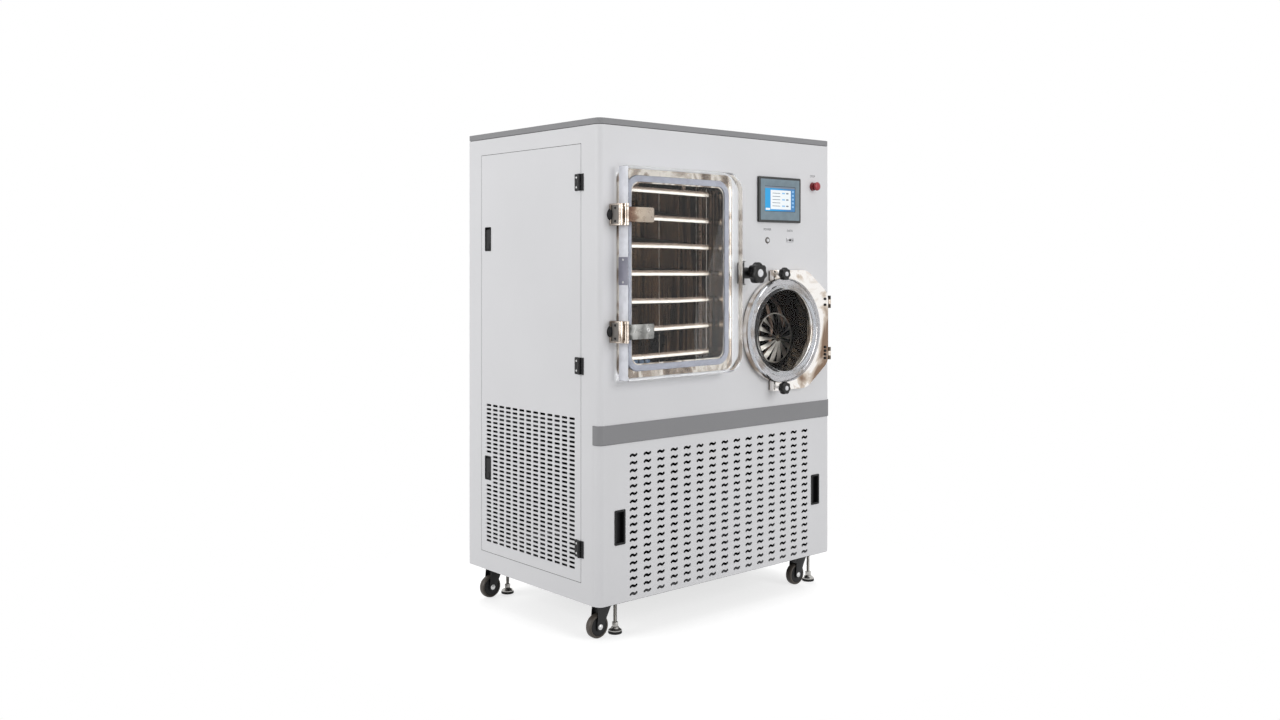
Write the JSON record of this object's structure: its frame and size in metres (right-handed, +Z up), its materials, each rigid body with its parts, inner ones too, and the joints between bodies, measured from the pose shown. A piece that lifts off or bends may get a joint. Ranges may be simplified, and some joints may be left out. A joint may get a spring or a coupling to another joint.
{
  "type": "pilot freeze dryer",
  "caption": "Floor-standing freeze dryer: shelved chamber behind a clear slab door, round condenser door with star-knob clamps, control panel, vented machine room, castors and levelling feet.",
  "frame": {"origin": "centre of the object's box at floor level, under the levelling feet", "axes": "+Z up, -Y towards the doors and controls, +X to the right as seen from the front"},
  "size_m": [1.0882, 0.8174, 1.599],
  "materials": {
    "cabinet_paint": "satin powder coat, fine orange peel",
    "cap_paint": "satin powder coat",
    "trim_paint": "satin powder coat",
    "dark_steel": "matt black paint",
    "stainless": "mirror-polished stainless steel",
    "shelf_steel": "fine brushed stainless steel",
    "bright_steel": "turned steel",
    "gasket_rubber": "matt silicone rubber",
    "acrylic": "clear cast acrylic, polished edges",
    "frosted_ring": "frosted acrylic ring",
    "black_plastic": "moulded, fine grain",
    "red_plastic": "moulded",
    "panel_grey": "grey face, black rim",
    "screen": "glossy display",
    "copper_tube": "drawn copper",
    "machine_black": "gloss black paint",
    "pump_paint": "grey-blue hammer paint",
    "aluminium_fins": "pressed fins",
    "castor_black": "black pressed steel",
    "wheel_rubber": "black polyurethane",
    "foot_steel": "zinc-plated stem, black rubber base"
  },
  "bodies": {
    "cabinet": {"cabinet_frame": "dark_steel", "cabinet_shell": "cabinet_paint", "top_cap": "cap_paint", "front_trim_band": "trim_paint", "rear_panel": "cabinet_paint", "right_side_panel": "cabinet_paint", "chamber_tank": "stainless", "chamber_gasket": "gasket_rubber", "shelf_stack": "shelf_steel", "chamber_hinge_upper": "stainless", "chamber_hinge_lower": "stainless", "condenser_tank": "stainless", "condenser_gasket": "gasket_rubber", "condenser_coil": "copper_tube", "baffle_rosette": "stainless", "hmi_bezel": "panel_grey", "hmi_screen": "screen", "estop_collar": "red_plastic", "power_switch_body": "bright_steel", "data_port": "bright_steel", "side_hinge_bottom": "black_plastic", "side_hinge_middle": "black_plastic", "side_hinge_top": "black_plastic", "compressor": "machine_black", "vacuum_pump": "pump_paint", "heat_exchanger": "aluminium_fins"},
    "chamber_door": {"chamber_door": "acrylic", "hinge_strap_upper": "stainless", "hinge_strap_lower": "stainless", "latch_lug": "black_plastic"},
    "latch_stud": {"latch_stud": "bright_steel"},
    "latch_knob": {"latch_knob": "black_plastic"},
    "condenser_door": {"condenser_door": "stainless", "condenser_window_ring": "frosted_ring", "condenser_window": "acrylic"},
    "clamp_stud_top": {"clamp_stud_top": "bright_steel"},
    "clamp_knob_top": {"clamp_knob_top": "black_plastic"},
    "clamp_stud_bottom": {"clamp_stud_bottom": "bright_steel"},
    "clamp_knob_bottom": {"clamp_knob_bottom": "black_plastic"},
    "side_door": {"side_door": "cabinet_paint"},
    "side_latch_upper": {"side_latch_upper": "black_plastic"},
    "side_latch_lower": {"side_latch_lower": "black_plastic"},
    "lower_panel": {"lower_front_panel": "cabinet_paint", "pull_cup_left": "black_plastic", "pull_cup_right": "black_plastic"},
    "estop_button": {"estop_button": "red_plastic"},
    "power_button": {"power_button": "bright_steel"},
    "cooling_fan": {"cooling_fan": "black_plastic"},
    "castor_front_left": {"castor_fork_front_left": "castor_black"},
    "wheel_front_left": {"castor_wheel_front_left": "wheel_rubber"},
    "foot_front_left": {"foot_front_left": "foot_steel"},
    "castor_front_right": {"castor_fork_front_right": "castor_black"},
    "wheel_front_right": {"castor_wheel_front_right": "wheel_rubber"},
    "foot_front_right": {"foot_front_right": "foot_steel"},
    "castor_rear_left": {"castor_fork_rear_left": "castor_black"},
    "wheel_rear_left": {"castor_wheel_rear_left": "wheel_rubber"},
    "foot_rear_left": {"foot_rear_left": "foot_steel"},
    "castor_rear_right": {"castor_fork_rear_right": "castor_black"},
    "wheel_rear_right": {"castor_wheel_rear_right": "wheel_rubber"},
    "foot_rear_right": {"foot_rear_right": "foot_steel"}
  },
  "joints": [
    {"name": "chamber_door_swing", "type": "hinge", "parent": "cabinet", "child": "chamber_door", "pos_m": [-0.47485, -0.37525, 1.128], "axis": [0, 0, -1], "range_deg": [0, 110]},
    {"name": "latch_stud_slide", "type": "slide", "parent": "chamber_door", "child": "latch_stud", "axis": [0, -1, 0], "range_m": [0, 0.012]},
    {"name": "latch_knob_turn", "type": "hinge", "parent": "latch_stud", "child": "latch_knob", "pos_m": [0.07815, -0.39525, 1.126], "axis": [0, -1, 0], "range_deg": [0, 1440]},
    {"name": "condenser_door_swing", "type": "hinge", "parent": "cabinet", "child": "condenser_door", "pos_m": [0.51415, -0.33525, 0.928], "axis": [0, 0, 1], "range_deg": [0, 110]},
    {"name": "clamp_stud_top_slide", "type": "slide", "parent": "condenser_door", "child": "clamp_stud_top", "axis": [0, -1, 0], "range_m": [0, 0.012]},
    {"name": "clamp_knob_top_turn", "type": "hinge", "parent": "clamp_stud_top", "child": "clamp_knob_top", "pos_m": [0.23215, -0.37525, 1.122], "axis": [0, -1, 0], "range_deg": [0, 1440]},
    {"name": "clamp_stud_bottom_slide", "type": "slide", "parent": "condenser_door", "child": "clamp_stud_bottom", "axis": [0, -1, 0], "range_m": [0, 0.012]},
    {"name": "clamp_knob_bottom_turn", "type": "hinge", "parent": "clamp_stud_bottom", "child": "clamp_knob_bottom", "pos_m": [0.23215, -0.37525, 0.734], "axis": [0, -1, 0], "range_deg": [0, 1440]},
    {"name": "side_door_swing", "type": "hinge", "parent": "cabinet", "child": "side_door", "pos_m": [-0.53915, -0.22525, 0.852], "axis": [0, 0, 1], "range_deg": [0, 110]},
    {"name": "side_latch_upper_lift", "type": "hinge", "parent": "side_door", "child": "side_latch_upper", "pos_m": [-0.52885, 0.27975, 1.272], "axis": [0, 1, 0], "range_deg": [0, 60]},
    {"name": "side_latch_lower_lift", "type": "hinge", "parent": "side_door", "child": "side_latch_lower", "pos_m": [-0.52885, 0.27975, 0.4965], "axis": [0, 1, 0], "range_deg": [0, 60]},
    {"name": "lower_panel_pull", "type": "slide", "parent": "cabinet", "child": "lower_panel", "axis": [0, -1, 0], "range_m": [0, 0.3]},
    {"name": "estop_press", "type": "slide", "parent": "cabinet", "child": "estop_button", "axis": [0, 1, 0], "range_m": [0, 0.004], "stiffness_N_per_m": 2000},
    {"name": "power_press", "type": "slide", "parent": "cabinet", "child": "power_button", "axis": [0, 1, 0], "range_m": [0, 0.002], "stiffness_N_per_m": 1000},
    {"name": "fan_spin", "type": "hinge", "parent": "cabinet", "child": "cooling_fan", "pos_m": [0.22615, 0.15975, 0.368], "axis": [0, 1, 0], "continuous": true},
    {"name": "castor_swivel_front_left", "type": "hinge", "parent": "cabinet", "child": "castor_front_left", "pos_m": [-0.45585, -0.23525, 0.118], "axis": [0, 0, 1], "range_deg": [-120, 120]},
    {"name": "wheel_spin_front_left", "type": "hinge", "parent": "castor_front_left", "child": "wheel_front_left", "pos_m": [-0.47685, -0.23525, 0.0375], "axis": [0, 1, 0], "continuous": true},
    {"name": "castor_swivel_front_right", "type": "hinge", "parent": "cabinet", "child": "castor_front_right", "pos_m": [0.46315, -0.23525, 0.118], "axis": [0, 0, 1], "range_deg": [-120, 120]},
    {"name": "wheel_spin_front_right", "type": "hinge", "parent": "castor_front_right", "child": "wheel_front_right", "pos_m": [0.44215, -0.23525, 0.0375], "axis": [0, 1, 0], "continuous": true},
    {"name": "castor_swivel_rear_left", "type": "hinge", "parent": "cabinet", "child": "castor_rear_left", "pos_m": [-0.45585, 0.35275, 0.118], "axis": [0, 0, 1], "range_deg": [-120, 120]},
    {"name": "wheel_spin_rear_left", "type": "hinge", "parent": "castor_rear_left", "child": "wheel_rear_left", "pos_m": [-0.47685, 0.35275, 0.0375], "axis": [0, 1, 0], "continuous": true},
    {"name": "castor_swivel_rear_right", "type": "hinge", "parent": "cabinet", "child": "castor_rear_right", "pos_m": [0.46315, 0.35275, 0.118], "axis": [0, 0, 1], "range_deg": [-120, 120]},
    {"name": "wheel_spin_rear_right", "type": "hinge", "parent": "castor_rear_right", "child": "wheel_rear_right", "pos_m": [0.44215, 0.35275, 0.0375], "axis": [0, 1, 0], "continuous": true},
    {"name": "foot_screw_front_left", "type": "slide", "parent": "cabinet", "child": "foot_front_left", "axis": [0, 0, 1], "range_m": [-0.03, 0.03]},
    {"name": "foot_screw_front_right", "type": "slide", "parent": "cabinet", "child": "foot_front_right", "axis": [0, 0, 1], "range_m": [-0.03, 0.03]},
    {"name": "foot_screw_rear_left", "type": "slide", "parent": "cabinet", "child": "foot_rear_left", "axis": [0, 0, 1], "range_m": [-0.03, 0.03]},
    {"name": "foot_screw_rear_right", "type": "slide", "parent": "cabinet", "child": "foot_rear_right", "axis": [0, 0, 1], "range_m": [-0.03, 0.03]}
  ],
  "couplings": [
    {"joint": "latch_stud_slide", "follows": "latch_knob_turn", "m_per_rad": 0.000477},
    {"joint": "clamp_stud_top_slide", "follows": "clamp_knob_top_turn", "m_per_rad": 0.000477},
    {"joint": "clamp_stud_bottom_slide", "follows": "clamp_knob_bottom_turn", "m_per_rad": 0.000477}
  ]
}
